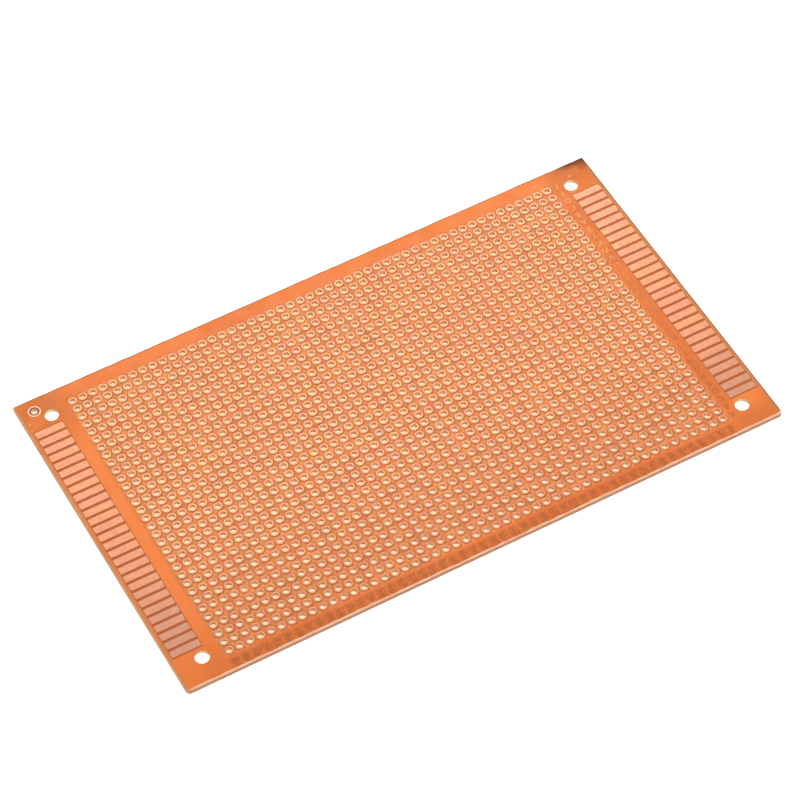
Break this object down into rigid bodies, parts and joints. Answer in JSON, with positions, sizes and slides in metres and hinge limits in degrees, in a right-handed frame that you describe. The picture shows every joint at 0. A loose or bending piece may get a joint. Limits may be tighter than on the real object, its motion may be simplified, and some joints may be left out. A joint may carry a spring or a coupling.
{
  "type": "prototype board",
  "caption": "Bare punched phenolic laminate with a grid of round copper solder pads, edge contacts at its ends, corner mounting holes and a locating hole.",
  "frame": {"origin": "centre of the underside, midway between the four middle lead holes", "axes": "+X along the board's length, +Y towards the back edge by the locating hole, +Z out of the copper face"},
  "size_m": [0.1498, 0.0892, 0.0012],
  "materials": {
    "laminate": "satin resin-bonded paper laminate, orange brown, slightly translucent",
    "copper": "bare copper foil under a thin clear flux lacquer, pinkish"
  },
  "bodies": {
    "root": {"laminate": "laminate", "left_contacts": "copper", "right_contacts": "copper", "locating_ring": "copper", "pads_row_01": "copper", "pads_row_02": "copper", "pads_row_03": "copper", "pads_row_04": "copper", "pads_row_05": "copper", "pads_row_06": "copper", "pads_row_07": "copper", "pads_row_08": "copper", "pads_row_09": "copper", "pads_row_10": "copper", "pads_row_11": "copper", "pads_row_12": "copper", "pads_row_13": "copper", "pads_row_14": "copper", "pads_row_15": "copper", "pads_row_16": "copper", "pads_row_17": "copper", "pads_row_18": "copper", "pads_row_19": "copper", "pads_row_20": "copper", "pads_row_21": "copper", "pads_row_22": "copper", "pads_row_23": "copper", "pads_row_24": "copper", "pads_row_25": "copper", "pads_row_26": "copper", "pads_row_27": "copper", "pads_row_28": "copper", "pads_row_29": "copper", "pads_row_30": "copper", "pads_row_31": "copper", "pads_row_32": "copper"}
  },
  "joints": []
}
